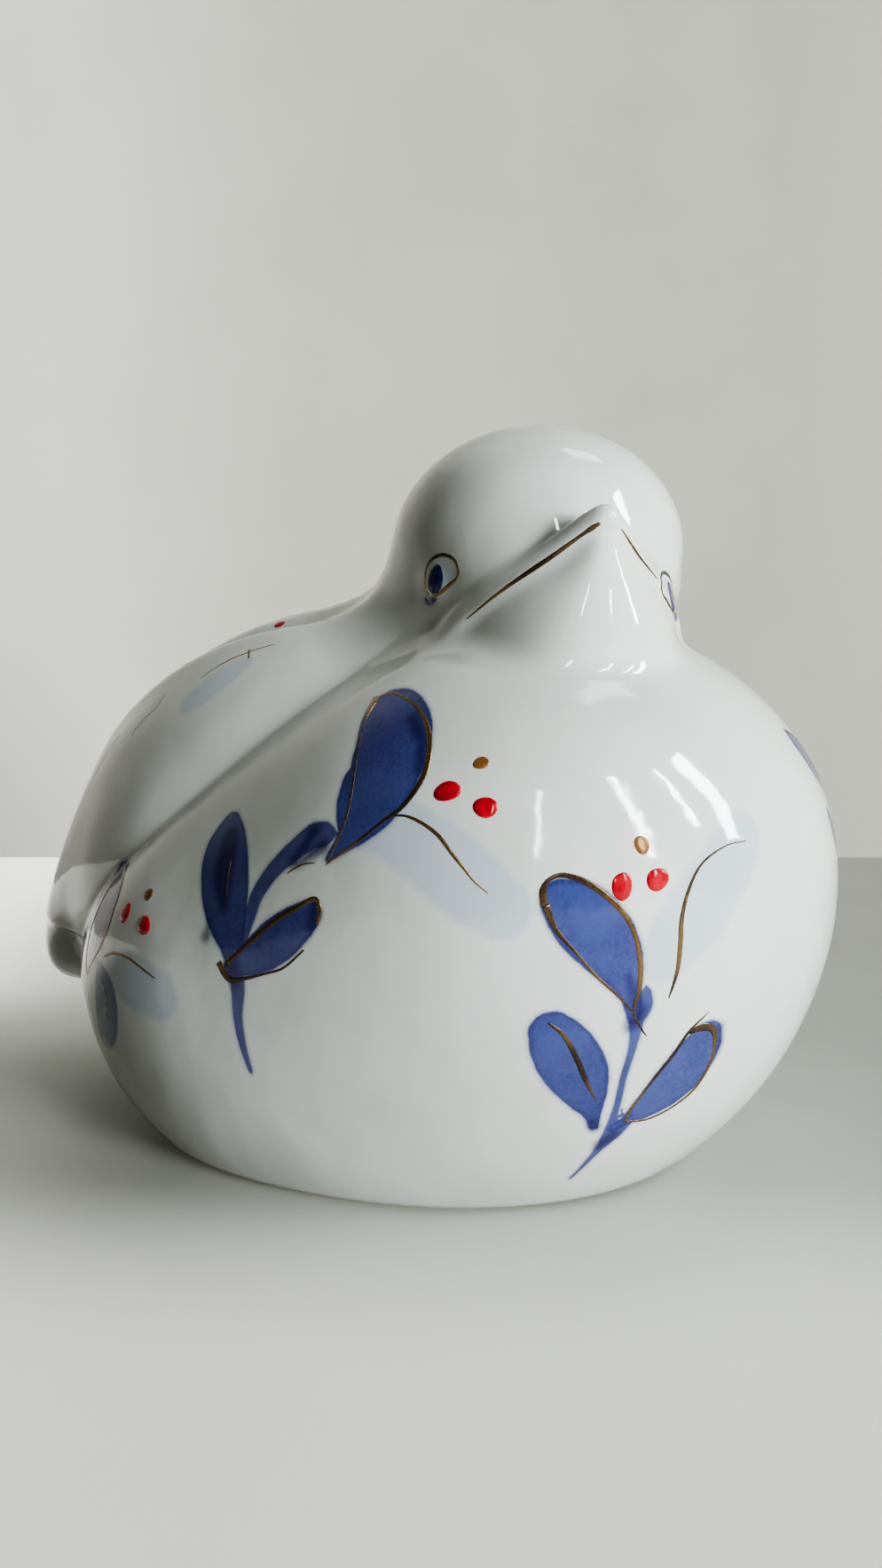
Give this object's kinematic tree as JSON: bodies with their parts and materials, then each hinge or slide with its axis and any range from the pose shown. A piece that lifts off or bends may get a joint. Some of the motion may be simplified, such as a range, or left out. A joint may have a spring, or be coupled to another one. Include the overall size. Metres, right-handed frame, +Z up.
{
  "type": "bird figurine",
  "caption": "Plump glazed porcelain nestling bird that sits on its belly, head turned to its right and bill lifted, with a flat foot to stand on a shelf.",
  "frame": {"origin": "bottom centre of the bird's box, on the plane of the foot", "axes": "+Z up; the breast faces -Y and the tail points to +Y; the bird's left side is +X"},
  "size_m": [0.123, 0.1765, 0.1367],
  "materials": {
    "porcelain_glaze": "glossy clear glaze over white porcelain, with cobalt blue sprigs painted under it",
    "gold_lustre": "fired gold lines, polished, browner where thin",
    "red_enamel": "glossy raised enamel drops"
  },
  "bodies": {
    "root": {"porcelain_bird": "porcelain_glaze"}
  },
  "joints": []
}
